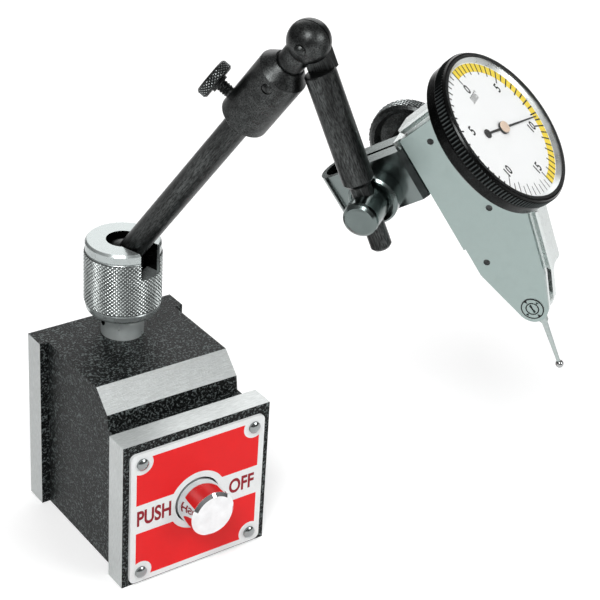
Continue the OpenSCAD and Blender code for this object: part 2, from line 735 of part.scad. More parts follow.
// dial
module bezel() {
  ro = bezel_r;
  ri = ro - bezel_wall;
  rib_root = ro - rib_h;
  color([0.07, 0.07, 0.07]) at_dial() rotate_extrude() polygon([
    [ri, bezel_z0], [ro - 0.5, bezel_z0], [ro - 0.2, bezel_z0 + 0.3], [ro - 0.2, rib_z0 - 0.25],
    [rib_root, rib_z0], [rib_root, bezel_top - 0.35], [ro - 0.5, bezel_top], [ri, bezel_top]
  ]);
}
module dial_face() {
  color([0.95, 0.95, 0.93]) at_dial() difference() {
    translate([0, 0, face_z]) cylinder(h = face_t, r = bezel_r - bezel_wall - eps);
    cylinder(h = 8, r = 0.95);
  }
}
module rim_ring() {
  r = bezel_r - bezel_wall - eps;
  z0 = face_z + face_t + eps;
  z1 = crystal_z - eps;
  color([0.75, 0.76, 0.76]) at_dial() rotate_extrude()
    polygon([[r - ring_slope, z0], [r, z0], [r, z1], [r - 0.15, z1]]);
}
module crystal() {
  color([0.9, 0.95, 1, 0.3]) at_dial() translate([0, 0, crystal_z])
    cylinder(h = crystal_t, r = bezel_r - bezel_wall - eps);
}

// movement
module contact_lever() {
  color([0.75, 0.62, 0.3]) at_clamp() translate([0, pivot_y, pivot_z]) difference() {
    union() {
      along_x(hub_x0, hub_x1, hub_r);
      rotate([lever_aim, 0, 0]) {
        box([mid_x - 1, -0.9, -sector_r + 1.6], [mid_x + 0.2, 0.9, 0]);
        box([hub_x0, -0.9, -lever_foot], [mid_x + 0.2, 0.9, -hub_r + 0.5]);
        plate_x(mid_x - 1, mid_x + 0.2) intersection() {
          difference() {
            toothed(sector_r, 600, tooth);
            circle(r = sector_r - 2.2, $fn = 200);
          }
          polygon([[0, 0], [-3, -50], [3, -50]]);
        }
      }
    }
    along_x(0, 40, 1.25 + fit);
    difference() {
      along_x(mid_x - eye_t / 2 - 0.1, mid_x + eye_t / 2 + 0.1, eye_r + 0.25);
      along_x(0, 40, hub_neck_r);
    }
  }
}
module contact_stem() {
  color([0.85, 0.85, 0.86]) at_pivot() rotate([contact_turn, 0, 0]) difference() {
    union() {
      intersection() {
        along_x(-eye_t / 2, eye_t / 2, eye_r);
        box([-5, -10, 0.6], [5, 10, 10]);
      }
      translate([0, 0, 2.2]) cylinder(h = 2.4, r = eye_t / 2);
      translate([0, 0, 4.4]) cylinder(h = 1.4, r = 1.1);
      translate([0, 0, 5.8]) cylinder(h = 0.8, r1 = 1.1, r2 = 0.7);
      translate([0, 0, 6.6]) cylinder(h = contact_length - 6.6 - tip_d * 0.3, r1 = 0.7, r2 = 0.42);
    }
    along_x(-10, 10, hub_neck_r + fit);
    translate([0, 0, contact_length]) sphere(r = tip_d / 2);
  }
}
module contact_ball() {
  color([0.7, 0.7, 0.72]) at_pivot() rotate([contact_turn, 0, 0]) translate([0, 0, contact_length])
    sphere(r = tip_d / 2);
}
module crown_wheel() {
  color([0.8, 0.68, 0.35]) at_crown() {
    along_x(frame_x0 + 0.05, case_x1 - 0.7, 0.5);
    plate_x(mid_x - 1.2, mid_x + 0.4) toothed(pinion_r - 0.06, 24, tooth);
    difference() {
      along_x(mid_x + 1.3, mid_x + 1.7, crown_r + 0.6);
      for (a = [0:60:300]) rotate([a, 0, 0]) translate([0, crown_r * 0.56, 0]) along_x(0, 40, 0.9);
    }
    difference() {
      along_x(mid_x + centre_r + 0.1, mid_x + 1.4, crown_r + 0.6);
      along_x(0, 40, crown_r - 0.6);
    }
  }
}
module centre_arbor() {
  color([0.7, 0.7, 0.7]) at_dial() {
    translate([0, 0, -seat_gap - centre_s - 1.6])
      cylinder(h = seat_gap + centre_s + 1.6 + pointer_z + boss_h + 0.15, r = arbor_r);
    translate([0, 0, -centre_s - 1.2 - seat_gap]) linear_extrude(2.2) toothed(centre_r, 14, 0.15);
  }
}
module pointer() {
  color([0.05, 0.05, 0.05]) at_dial() rotate([0, 0, pointer_turn]) translate([0, 0, pointer_z]) difference() {
    union() {
      linear_extrude(pointer_t) polygon([
        [-tail_len, -0.25], [0, -0.3], [pointer_len, -0.12], [pointer_len, 0.12], [0, 0.3], [-tail_len, 0.25]
      ]);
      translate([-tail_len, 0, 0]) cylinder(h = pointer_t, r = tail_r);
      cylinder(h = boss_h, r = boss_r);
    }
    translate([0, 0, -1]) cylinder(h = 3, r = arbor_r + eps);
  }
}
module pointer_hub() {
  color([0.8, 0.65, 0.3]) at_dial() translate([0, 0, pointer_z + boss_h + eps]) difference() {
    cylinder(h = cap_h, r = boss_r - 0.1);
    translate([0, 0, -1]) cylinder(h = 1.2, r = arbor_r + eps);
  }
}

front_plate();
back_plate();
housing();
label_plate();
label_screws();
plate_bolts();
core_liner();
swivel_stem();
push_button();
magnet();
pole_discs();
core_rod();
rear_plunger();
swivel_nut();
post();
sleeve();
clamp_pad();
retaining_screw();
thumb_screw();
upper_knuckle();
elbow_pin();
elbow_washer();
lower_arm();
snug_bolt();
snug_collar();
dovetail_clamp();
clamp_washer();
clamp_knob();
indicator_body();
side_cover();
cover_pins();
pivot_cap_near();
pivot_cap_far();
dial_case();
movement_bridge();
bezel();
dial_face();
rim_ring();
crystal();
contact_lever();
contact_stem();
contact_ball();
crown_wheel();
centre_arbor();
pointer();
pointer_hub();
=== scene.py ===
"""Looks of a magnetic dial indicator stand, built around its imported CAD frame."""
import json
import math

import bmesh
import bpy
from mathutils import Matrix, Vector


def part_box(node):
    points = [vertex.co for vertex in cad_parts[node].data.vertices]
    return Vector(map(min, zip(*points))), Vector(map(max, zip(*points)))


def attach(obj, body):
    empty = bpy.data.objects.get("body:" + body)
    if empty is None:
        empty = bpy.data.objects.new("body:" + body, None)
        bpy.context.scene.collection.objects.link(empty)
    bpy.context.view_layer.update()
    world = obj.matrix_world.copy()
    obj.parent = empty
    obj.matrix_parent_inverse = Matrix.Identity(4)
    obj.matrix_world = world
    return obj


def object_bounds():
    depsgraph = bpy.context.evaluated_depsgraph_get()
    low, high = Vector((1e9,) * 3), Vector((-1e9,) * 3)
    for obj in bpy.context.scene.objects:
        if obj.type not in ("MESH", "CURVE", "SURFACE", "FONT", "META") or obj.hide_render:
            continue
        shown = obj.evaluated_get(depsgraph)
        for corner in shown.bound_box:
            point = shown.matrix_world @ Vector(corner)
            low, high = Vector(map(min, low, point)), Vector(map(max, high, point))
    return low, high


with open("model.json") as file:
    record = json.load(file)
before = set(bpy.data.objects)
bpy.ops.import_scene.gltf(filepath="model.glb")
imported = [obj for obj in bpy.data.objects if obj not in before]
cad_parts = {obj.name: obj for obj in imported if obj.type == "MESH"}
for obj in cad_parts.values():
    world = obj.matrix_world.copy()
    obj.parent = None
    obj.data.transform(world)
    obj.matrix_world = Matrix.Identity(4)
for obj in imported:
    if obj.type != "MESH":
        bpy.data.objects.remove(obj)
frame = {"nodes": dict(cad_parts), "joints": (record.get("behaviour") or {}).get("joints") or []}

cad_low, cad_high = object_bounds()
nodes = frame["nodes"]
joints = {joint["name"]: joint for joint in frame["joints"]}
scene = bpy.context.scene
scene.view_settings.view_transform = "Standard"
MM = 0.001
TURN = 2 * math.pi

# camera at the photograph's viewpoint, in degrees, metres and pixels of its 600 x 600 frame
VIEW_AZIMUTH = math.radians(-37.14)
VIEW_ELEVATION = math.radians(28.98)
VIEW_ROLL = math.radians(3.92)
VIEW_DISTANCE = 454.27 * MM
VIEW_RIGHT = 41.23 * MM
VIEW_UP = 56.68 * MM
FOCAL_PIXELS = 1707.71
FRAME_PIXELS = 600
SENSOR_MM = 36


def make_camera():
    right = Vector((math.cos(VIEW_AZIMUTH), math.sin(VIEW_AZIMUTH), 0))
    flat = math.cos(VIEW_ELEVATION)
    back = Vector((math.sin(VIEW_AZIMUTH) * flat, -math.cos(VIEW_AZIMUTH) * flat, math.sin(VIEW_ELEVATION)))
    up = back.cross(right)
    rolled_right = right * math.cos(VIEW_ROLL) + up * math.sin(VIEW_ROLL)
    rolled_up = up * math.cos(VIEW_ROLL) - right * math.sin(VIEW_ROLL)
    data = bpy.data.cameras.new("camera")
    data.sensor_width = SENSOR_MM
    data.lens = FOCAL_PIXELS / FRAME_PIXELS * SENSOR_MM
    data.clip_start = 0.01
    camera = bpy.data.objects.new("camera", data)
    matrix = Matrix((rolled_right, rolled_up, back)).transposed().to_4x4()
    matrix.translation = rolled_right * VIEW_RIGHT + rolled_up * VIEW_UP + back * VIEW_DISTANCE
    camera.matrix_world = matrix
    scene.collection.objects.link(camera)
    scene.camera = camera


# frames of the moving pieces, read from the joints
def place(origin, axis, across):
    """Matrix whose z runs along axis and whose x lies as near to across as it can."""
    z = Vector(axis).normalized()
    x = Vector(across)
    x = (x - z * x.dot(z)).normalized()
    matrix = Matrix((x, z.cross(x), z)).transposed().to_4x4()
    matrix.translation = Vector(origin)
    return matrix


def joint_place(name, across, origin=None):
    joint = joints[name]
    return place(origin or joint["pos_m"], joint["axis"], across)


BOLT_AXIS = joints["knob_turn"]["axis"]
SLOT_AXIS = joints["post_tilt"]["axis"]
nut_place = joint_place("nut_swivel", Vector(SLOT_AXIS).cross(Vector((0, 0, 1))))
dial_place = joint_place("bezel_turn", BOLT_AXIS)
knob_place = joint_place("knob_turn", (0, 0, 1))
thumb_place = joint_place("thumb_screw_turn", (0, 0, 1))
post_place = joint_place("sleeve_slide", (1, 0, 0), joints["post_tilt"]["pos_m"])
arm_place = joint_place("snug_turn", (1, 0, 0))
cap_place = joint_place("contact_lever_pivot", (0, 0, 1))


def span(node, matrix):
    """Lowest and highest z and the largest radius of a node, in a frame."""
    inverse = matrix.inverted()
    points = [inverse @ vertex.co for vertex in nodes[node].data.vertices]
    heights = [point.z for point in points]
    return min(heights), max(heights), max(math.hypot(point.x, point.y) for point in points)


# materials
class Shader:
    """A node material with a Principled surface, and short calls that wire textures into it."""

    def __init__(self, name, colour, metallic=0.0, roughness=0.5, **sockets):
        self.material = bpy.data.materials.new(name)
        self.material.use_nodes = True
        self.tree = self.material.node_tree
        self.surface = self.tree.nodes["Principled BSDF"]
        self.set("Base Color", (*colour, 1))
        self.set("Metallic", metallic)
        self.set("Roughness", roughness)
        for socket, value in sockets.items():
            self.set(socket.replace("_", " "), value)
        self.coordinates = self.node("ShaderNodeTexCoord").outputs["Object"]

    def set(self, socket, value):
        if isinstance(value, bpy.types.NodeSocket):
            self.tree.links.new(value, self.surface.inputs[socket])
        else:
            self.surface.inputs[socket].default_value = value

    def node(self, kind, **values):
        node = self.tree.nodes.new(kind)
        for name, value in values.items():
            setattr(node, name, value)
        return node

    def wire(self, node, **inputs):
        for name, value in inputs.items():
            socket = node.inputs[name.replace("_", " ")]
            if isinstance(value, bpy.types.NodeSocket):
                self.tree.links.new(value, socket)
            else:
                socket.default_value = value
        return node

    def noise(self, size_mm, detail=2.0, stretch=(1, 1, 1), roughness=0.5):
        """Noise whose grains are about size_mm across, drawn out along the axes by stretch."""
        mapping = self.wire(self.node("ShaderNodeMapping"), Vector=self.coordinates)
        mapping.inputs["Scale"].default_value = [1 / (size_mm * MM * s) for s in stretch]
        node = self.node("ShaderNodeTexNoise")
        self.wire(node, Vector=mapping.outputs[0], Scale=1.0, Detail=detail, Roughness=roughness)
        return node.outputs["Fac"]

    def ramp(self, value, low, high, at_low, at_high):
        """Maps value from low..high to at_low..at_high, clamped."""
        node = self.node("ShaderNodeMapRange")
        self.wire(node, Value=value, From_Min=low, From_Max=high, To_Min=at_low, To_Max=at_high)
        return node.outputs["Result"]

    def mix(self, share, first, second):
        """The first colour where share is 0 and the second where it is 1."""
        node = self.node("ShaderNodeMix", data_type="RGBA")
        self.tree.links.new(share, node.inputs["Factor"])
        for index, value in ((6, first), (7, second)):
            if isinstance(value, bpy.types.NodeSocket):
                self.tree.links.new(value, node.inputs[index])
            else:
                node.inputs[index].default_value = (*value, 1)
        return node.outputs[2]

    def math(self, operation, first, second=0.0):
        node = self.node("ShaderNodeMath", operation=operation)
        for index, value in ((0, first), (1, second)):
            if isinstance(value, bpy.types.NodeSocket):
                self.tree.links.new(value, node.inputs[index])
            else:
                node.inputs[index].default_value = value
        return node.outputs[0]

    def bump(self, height, depth_mm):
        """Relief of the surface, depth_mm deep where height runs from 0 to 1."""
        node = self.node("ShaderNodeBump")
        self.wire(node, Height=height, Distance=depth_mm * MM, Strength=1.0)
        self.set("Normal", node.outputs["Normal"])

    def local(self, matrix):
        """Coordinates in a frame."""
        node = self.wire(self.node("ShaderNodeMapping", vector_type="TEXTURE"), Vector=self.coordinates)
        node.inputs["Location"].default_value = matrix.translation
        node.inputs["Rotation"].default_value = matrix.to_euler()
        return node.outputs[0]

    def reach(self, matrix):
        """Distance from the z axis of a frame."""
        flat = self.node("ShaderNodeVectorMath", operation="MULTIPLY")
        flat.inputs[1].default_value = (1, 1, 0)
        self.tree.links.new(self.local(matrix), flat.inputs[0])
        length = self.node("ShaderNodeVectorMath", operation="LENGTH")
        self.tree.links.new(flat.outputs[0], length.inputs[0])
        return length.outputs["Value"]

    def facing(self, axis):
        """How far a face looks along one of the axes x, y and z, from -1 to 1."""
        split = self.node("ShaderNodeSeparateXYZ")
        self.tree.links.new(self.node("ShaderNodeNewGeometry").outputs["Normal"], split.inputs[0])
        return split.outputs["XYZ".index(axis)]


STEEL = (0.80, 0.83, 0.825)
SCRATCH = (0.40, 0.42, 0.415)
PAINT = (0.002, 0.0025, 0.0025)
# painted highlight: the lighter colour of the wrinkle crests and of sparse glint specks
CREST_HIGHLIGHT = (0.120, 0.140, 0.138)
GLINT_HIGHLIGHT = (0.26, 0.29, 0.29)
# painted shade: black in knurl valleys, in the nut's bore and slot and in the stem's cross hole
SHADE_BLACK = (0.004, 0.004, 0.004)
# lighter knurl tops: partly wear, partly painted highlight
WEAR_AND_GLINT = (0.42, 0.45, 0.45)
BARE_METALLIC = 0.55
PAINT_ROUGHNESS = 0.42
BARE_ROUGHNESS = 0.38
PAINT_RELIEF_MM = 0.16
SCRATCH_RELIEF = 0.04
ENAMEL_GRAIN_MM = 0.3
ENAMEL_SHEEN = 0.2


def wrinkle(shader):
    """Colour and relief of the black wrinkle paint, its colour lighter on the crests and in sparse specks:
    painted highlight and painted glints.
    """
    grain = shader.noise(0.58, detail=2.0, roughness=0.55)
    crest = shader.ramp(grain, 0.54, 0.62, 0.0, 1.0)
    glints = shader.ramp(shader.noise(0.34, detail=1.0), 0.66, 0.76, 0.0, 1.0)
    colour = shader.mix(glints, shader.mix(crest, PAINT, CREST_HIGHLIGHT), GLINT_HIGHLIGHT)
    return colour, crest


def ground(shader, stretch, painted_light_gain=1.0):
    """Colour of ground steel, made lighter or darker by the gain as painted light and shade, and its
    scratches, drawn out by stretch.
    """
    scratches = shader.noise(0.16, detail=4.0, stretch=stretch, roughness=0.7)
    clouds = shader.noise(9.0, detail=2.0)
    fine = shader.ramp(scratches, 0.34, 0.66, 0.35, 1.0)
    shade = shader.math("MULTIPLY", fine, shader.ramp(clouds, 0.3, 0.7, 0.85, 1.0))
    colour = shader.mix(shade, [c * painted_light_gain for c in SCRATCH], [c * painted_light_gain for c in STEEL])
    return colour, scratches


def painted_steel(name, stretch, bare, painted_light_gain):
    """Wrinkle paint with ground steel where bare(shader) is 1, the steel made lighter or darker by the gain
    as painted light and shade.
    """
    shader = Shader(name, PAINT, roughness=0.5, Specular_IOR_Level=0.14)
    paint, crest = wrinkle(shader)
    metal, scratches = ground(shader, stretch, painted_light_gain)
    share = bare(shader)
    shader.set("Base Color", shader.mix(share, paint, metal))
    shader.set("Metallic", shader.math("MULTIPLY", share, BARE_METALLIC))
    shader.set("Roughness", shader.ramp(share, 0.0, 1.0, PAINT_ROUGHNESS, BARE_ROUGHNESS))
    relief = shader.math("MULTIPLY", crest, shader.ramp(share, 0.0, 1.0, 1.0, 0.0))
    marks = shader.math("MULTIPLY", scratches, SCRATCH_RELIEF)
    shader.bump(shader.math("ADD", relief, marks), PAINT_RELIEF_MM)
    return shader.material


def bare_edges(shader):
    """1 on all faces but those that look to the front."""
    return shader.ramp(shader.facing("Y"), -0.9, -0.8, 0.0, 1.0)


def bare_sides(shader):
    """1 on the left and right faces and on the underside."""
    side = shader.ramp(shader.math("ABSOLUTE", shader.facing("X")), 0.8, 0.9, 0.0, 1.0)
    under = shader.ramp(shader.facing("Z"), -0.9, -0.8, 1.0, 0.0)
    return shader.math("MAXIMUM", side, under)


def bare_slope(shader):
    """1 on the face that slopes to the front."""
    forward = shader.ramp(shader.facing("Y"), -0.8, -0.4, 1.0, 0.0)
    back = shader.ramp(shader.facing("Y"), -0.9, -0.82, 0.0, 1.0)
    return shader.math("MULTIPLY", forward, back)


def ground_steel(name, stretch):
    shader = Shader(name, STEEL, metallic=1.0, roughness=0.32)
    colour, scratches = ground(shader, stretch)
    shader.set("Base Color", colour)
    shader.set("Roughness", shader.ramp(scratches, 0.2, 0.8, 0.26, 0.42))
    shader.bump(scratches, 0.004)
    return shader.material


def beyond(matrix, low, high):
    """A share that rises from 0 to 1 as the distance from a frame's z axis goes from low to high."""
    def share(shader):
        return shader.ramp(shader.reach(matrix), low, high, 0.0, 1.0)
    return share


def polished(name, colour, roughness, relief_mm=0.002, grain_mm=0.5, bright=None, metallic=1.0):
    """Plated or turned metal with a faint waviness and smudges, painted black as painted shade where
    bright(shader) is 0.
    """
    shader = Shader(name, colour, metallic=metallic, roughness=roughness)
    smudge = shader.noise(3.0, detail=3.0)
    wave = shader.noise(grain_mm, detail=2.0)
    tone = shader.mix(shader.ramp(smudge, 0.3, 0.7, 0.0, 1.0), [c * 0.88 for c in colour], colour)
    if bright:
        tone = shader.mix(bright(shader), SHADE_BLACK, tone)
    shader.set("Base Color", tone)
    shader.set("Roughness", shader.ramp(smudge, 0.3, 0.7, roughness * 0.8, roughness * 1.4))
    shader.bump(wave, relief_mm)
    return shader.material


def black_oxide(name, dark=0.010, light=0.115, roughness=0.36, tops=None, wear_and_glint=WEAR_AND_GLINT, rod=None):
    """Blackened steel with a soft sheen and a grain along a rod, lighter where tops(shader) is 1: wear and
    painted highlight.
    """
    shader = Shader(name, (dark, dark, dark), metallic=1.0, roughness=roughness)
    stretch = (1, 1, 1)
    if rod:
        shader.coordinates = shader.local(rod)
        stretch = (1, 1, 5)
    fine = shader.noise(0.3, detail=3.0, stretch=stretch, roughness=0.65)
    broad = shader.noise(2.2, detail=3.0, stretch=stretch)
    patches = shader.ramp(broad, 0.34, 0.68, 0.4, 1.0)
    mottled = shader.math("MULTIPLY", shader.ramp(fine, 0.36, 0.68, 0.15, 1.0), patches)
    tone = shader.mix(mottled, (dark, dark, dark), (light, light * 1.06, light * 1.05))
    if tops:
        tone = shader.mix(tops(shader), tone, wear_and_glint)
    shader.set("Base Color", tone)
    shader.set("Roughness", shader.ramp(fine, 0.3, 0.7, roughness * 0.8, roughness * 1.25))
    shader.bump(fine, 0.012)
    return shader.material


def enamel(name, colour, roughness, spread=0.06):
    """Printed or enamelled colour with a faint unevenness."""
    shader = Shader(name, colour, roughness=roughness, Specular_IOR_Level=ENAMEL_SHEEN)
    grain = shader.noise(ENAMEL_GRAIN_MM, detail=3.0)
    broad = shader.noise(6.0)
    halves = [shader.math("MULTIPLY", noise, 0.5) for noise in (grain, broad)]
    uneven = shader.math("ADD", *halves)
    darker = [c * (1 - spread) for c in colour]
    shader.set("Base Color", shader.mix(shader.ramp(uneven, 0.35, 0.65, 0.0, 1.0), darker, colour))
    shader.set("Roughness", shader.ramp(grain, 0.3, 0.7, roughness * 0.85, roughness * 1.15))
    shader.bump(grain, 0.003)
    return shader.material


def clear_crystal(name):
    """Glass that is nearly all see-through, with a soft gleam."""
    shader = Shader(name, (0.95, 0.97, 0.97), roughness=0.04, Alpha=0.025)
    shader.set("Roughness", shader.ramp(shader.noise(4.0), 0.3, 0.7, 0.03, 0.06))
    return shader.material


NUT_INSIDE = 0.9 * MM
NUT_SKIN = 0.6 * MM
nut_low, nut_high, nut_radius = span("swivel_nut", nut_place)


def nut_outside(shader):
    """1 on the nut's skin, its top and its foot, and 0 in its bore and slot, where the nut is painted black
    as painted shade.
    """
    reach = shader.reach(nut_place)
    outer = shader.ramp(reach, nut_radius - NUT_INSIDE, nut_radius - NUT_SKIN, 0.0, 1.0)
    level = shader.ramp(shader.math("ABSOLUTE", shader.facing("Z")), 0.3, 0.6, 0.0, 1.0)
    return shader.math("MAXIMUM", outer, level)


# cross hole of the stem, painted black inside as painted shade
HOLE_RADIUS = 1.3 * MM
HOLE_BLACK = HOLE_RADIUS + 0.03 * MM
HOLE_BRIGHT = HOLE_RADIUS + 0.1 * MM
HOLE_RISE = 4.1 * MM
HOLE_TURN = math.radians(172)
hole_spot = Vector(joints["nut_swivel"]["pos_m"])
hole_spot.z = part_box("housing")[1].z + HOLE_RISE
hole_place = place(hole_spot, (math.cos(HOLE_TURN), math.sin(HOLE_TURN), 0), (0, 0, 1))

# looks of the CAD nodes
OXIDE = black_oxide("oxide_black")
LOOKS = {
    "post": black_oxide("post_black", rod=post_place),
    "lower_arm": black_oxide("arm_black", rod=arm_place),
    # the same ground steel painted lighter on the slope and darker on the plates' edges: painted light and
    # shade
    "front_plate": painted_steel("plate_black", (12, 1, 12), bare_edges, painted_light_gain=0.85),
    "housing": painted_steel("wrinkle_black", (14, 1, 1), bare_slope, painted_light_gain=1.1),
    "back_plate": painted_steel("back_black", (12, 1, 12), bare_sides, painted_light_gain=0.75),
    "label_plate": enamel("label_white", (0.80, 0.82, 0.82), roughness=0.3),
    "label_screws": polished("screw_bright", (0.30, 0.32, 0.32), 0.16),
    "plate_bolts": black_oxide("screw_black"),
    "core_liner": polished("brass", (0.72, 0.52, 0.22), 0.28),
    # the stem goes black in its cross hole: painted shade
    "swivel_stem": polished(
        "stem_steel", (0.82, 0.88, 0.87), 0.3, metallic=0.6,
        bright=beyond(hole_place, HOLE_BLACK, HOLE_BRIGHT),
    ),
    "push_button": polished("chrome", (0.80, 0.81, 0.82), 0.06, relief_mm=0.001),
    "magnet": enamel("magnet_grey", (0.25, 0.25, 0.26), roughness=0.5),
    "pole_discs": ground_steel("disc_steel", (1, 1, 8)),
    "rear_plunger": polished("plunger_steel", (0.6, 0.6, 0.6), 0.25),
    # the nut goes black in its bore and slot: painted shade
    "swivel_nut": polished("nut_plate", (0.46, 0.50, 0.495), 0.24, bright=nut_outside, metallic=0.7),
    "snug_bolt": polished("snug_chrome", (0.16, 0.19, 0.185), 0.2),
    "dovetail_clamp": polished("clamp_chrome", (0.19, 0.22, 0.215), 0.18),
    "indicator_body": polished("body_satin", (0.70, 0.74, 0.73), 0.24, relief_mm=0.003),
    "side_cover": polished("cover_satin", (0.36, 0.435, 0.42), 0.36, relief_mm=0.004, grain_mm=0.25),
    "bezel": black_oxide("bezel_black", dark=0.008, light=0.03, roughness=0.24),
    "dial_face": enamel("dial_white", (0.86, 0.87, 0.87), roughness=0.45, spread=0.02),
    "rim_ring": polished("ring_grey", (0.72, 0.75, 0.75), 0.3),
    "crystal": clear_crystal("crystal_clear"),
    "contact_stem": polished("contact_steel", (0.42, 0.47, 0.46), 0.25),
    "contact_ball": polished("carbide", (0.40, 0.41, 0.41), 0.1),
    "pointer_hub": polished("hub_brass", (0.90, 0.70, 0.54), 0.35, metallic=0.3),
    "pointer": enamel("pointer_black", (0.012, 0.012, 0.012), roughness=0.35),
}
SAME_AS = {
    "core_rod": "core_liner", "clamp_pad": "core_liner", "movement_bridge": "core_liner",
    "contact_lever": "contact_stem", "crown_wheel": "core_liner",
    "snug_collar": "snug_bolt", "retaining_screw": "plate_bolts", "cover_pins": "plate_bolts",
    "clamp_washer": "plate_bolts", "elbow_washer": "rear_plunger", "pivot_cap_near": "side_cover",
    "pivot_cap_far": "indicator_body", "dial_case": "bezel", "centre_arbor": "contact_stem",
}
for name, node in nodes.items():
    look = LOOKS.get(SAME_AS.get(name, name), OXIDE)
    node.data.materials.clear()
    node.data.materials.append(look)


# new pieces
def add_piece(name, mesh, body, material):
    piece = bpy.data.objects.new(name, mesh)
    scene.collection.objects.link(piece)
    mesh.materials.append(material)
    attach(piece, body)
    return piece


def relief_band(name, matrix, low, high, radius, around, along, relief, cut=None):
    """A skin round a cylinder, lifted by relief(turn, height) at around x along points, then cut(bm)."""
    bm = bmesh.new()
    rows = []
    for j in range(along + 1):
        height = low + (high - low) * j / along
        row = []
        for i in range(around):
            turn = TURN * i / around
            reach = radius + relief(turn, height)
            row.append(bm.verts.new((reach * math.cos(turn), reach * math.sin(turn), height)))
        rows.append(row)
    for lower, upper in zip(rows, rows[1:]):
        for i in range(around):
            k = (i + 1) % around
            bm.faces.new((lower[i], lower[k], upper[k], upper[i]))
    if cut:
        cut(bm)
    mesh = bpy.data.meshes.new(name)
    bm.to_mesh(mesh)
    bm.free()
    mesh.transform(matrix)
    return mesh


def saw(value):
    """A wave of period 1 that runs 0, 1, 0."""
    return 1 - abs(2 * (value % 1) - 1)


RUN_OUT = 0.25
FLAT_TOPS = 1.35


def diamonds(low, high, count, pitch, depth, sink):
    """Relief of a diamond knurl with flat tops, count diamonds round and one per pitch along."""
    def relief(turn, height):
        u = turn / TURN * count
        v = (height - low) / pitch
        tops = min(saw(u + v), saw(u - v))
        ends = min(1, (height - low) / (RUN_OUT * pitch), (high - height) / (RUN_OUT * pitch))
        return depth * min(1, FLAT_TOPS * tops) * max(0, ends) - sink
    return relief


def ribs(low, high, count, depth, sink, slope):
    """Relief of straight ribs along the axis."""
    def relief(turn, height):
        ends = min(1, (height - low) / slope, (high - height) / slope)
        return depth * saw(turn / TURN * count) * max(0, ends) - sink
    return relief


SAMPLES = 6
SINK = 0.02 * MM
SLOT_WIDTH = 7.0 * MM
SLOT_FLOOR = -1.6 * MM


def cut_slot(bm):
    """Opens the skin of the nut over the slot that the post leans into."""
    half = SLOT_WIDTH / 2
    edges = (
        (Vector((0, half, 0)), Vector((0, 1, 0))),
        (Vector((0, -half, 0)), Vector((0, 1, 0))),
        (Vector((0, 0, SLOT_FLOOR)), Vector((0, 0, 1))),
    )
    for point, normal in edges:
        geometry = bm.verts[:] + bm.edges[:] + bm.faces[:]
        bmesh.ops.bisect_plane(bm, geom=geometry, plane_co=point, plane_no=normal, dist=1e-7)
    inside = []
    for face in bm.faces:
        middle = face.calc_center_median()
        if middle.x > 0 and abs(middle.y) < half and middle.z > SLOT_FLOOR:
            inside.append(face)
    bmesh.ops.delete(bm, geom=inside, context="FACES")


# knurl of the swivel nut
NUT_BAND = 2.95 * MM
KNURL_LOW = nut_low + NUT_BAND
KNURL_HIGH = nut_high - NUT_BAND
NUT_DIAMONDS = 56
NUT_ROWS = 14
NUT_DEPTH = 0.3 * MM
NUT_PITCH = (KNURL_HIGH - KNURL_LOW) / NUT_ROWS
nut_relief = diamonds(KNURL_LOW, KNURL_HIGH, NUT_DIAMONDS, NUT_PITCH, NUT_DEPTH, SINK)
nut_mesh = relief_band(
    "nut_knurl", nut_place, KNURL_LOW, KNURL_HIGH, nut_radius,
    NUT_DIAMONDS * SAMPLES, NUT_ROWS * SAMPLES, nut_relief, cut_slot,
)
# black knurl valleys: painted shade
nut_valley_shade = beyond(nut_place, nut_radius + 0.1 * NUT_DEPTH, nut_radius + 0.75 * NUT_DEPTH)
nut_look = polished("nut_diamonds", (0.70, 0.75, 0.74), 0.24, bright=nut_valley_shade, metallic=0.7)
add_piece("nut_knurl", nut_mesh, "nut", nut_look)

# knurl of the clamp knob
knob_high, knob_radius = span("clamp_knob", knob_place)[1:]
RIM_LOW = knob_high - 3.8 * MM
RIM_HIGH = knob_high - 0.6 * MM
KNOB_DIAMONDS = 44
KNOB_ROWS = 4
KNOB_DEPTH = 0.34 * MM
KNOB_PITCH = (RIM_HIGH - RIM_LOW) / KNOB_ROWS
knob_relief = diamonds(RIM_LOW, RIM_HIGH, KNOB_DIAMONDS, KNOB_PITCH, KNOB_DEPTH, SINK)
knob_mesh = relief_band(
    "knob_knurl", knob_place, RIM_LOW, RIM_HIGH, knob_radius,
    KNOB_DIAMONDS * SAMPLES, KNOB_ROWS * SAMPLES, knob_relief,
)
# lighter diamond tops: wear and painted highlight
knob_wear_and_glint = beyond(knob_place, knob_radius + 0.35 * KNOB_DEPTH, knob_radius + 0.95 * KNOB_DEPTH)
knob_look = black_oxide("knob_diamonds", tops=knob_wear_and_glint)
add_piece("knob_knurl", knob_mesh, "knob", knob_look)

# knurl and thread of the thumb screw
thumb_high, thumb_radius = span("thumb_screw", thumb_place)[1:]
HEAD_LOW = thumb_high - 2.4 * MM
HEAD_HIGH = thumb_high - 0.3 * MM
HEAD_DIAMONDS = 26
HEAD_ROWS = 3
HEAD_DEPTH = 0.22 * MM
HEAD_PITCH = (HEAD_HIGH - HEAD_LOW) / HEAD_ROWS
thumb_relief = diamonds(HEAD_LOW, HEAD_HIGH, HEAD_DIAMONDS, HEAD_PITCH, HEAD_DEPTH, SINK)
thumb_mesh = relief_band(
    "thumb_knurl", thumb_place, HEAD_LOW, HEAD_HIGH, thumb_radius,
    HEAD_DIAMONDS * SAMPLES, HEAD_ROWS * SAMPLES, thumb_relief,
)
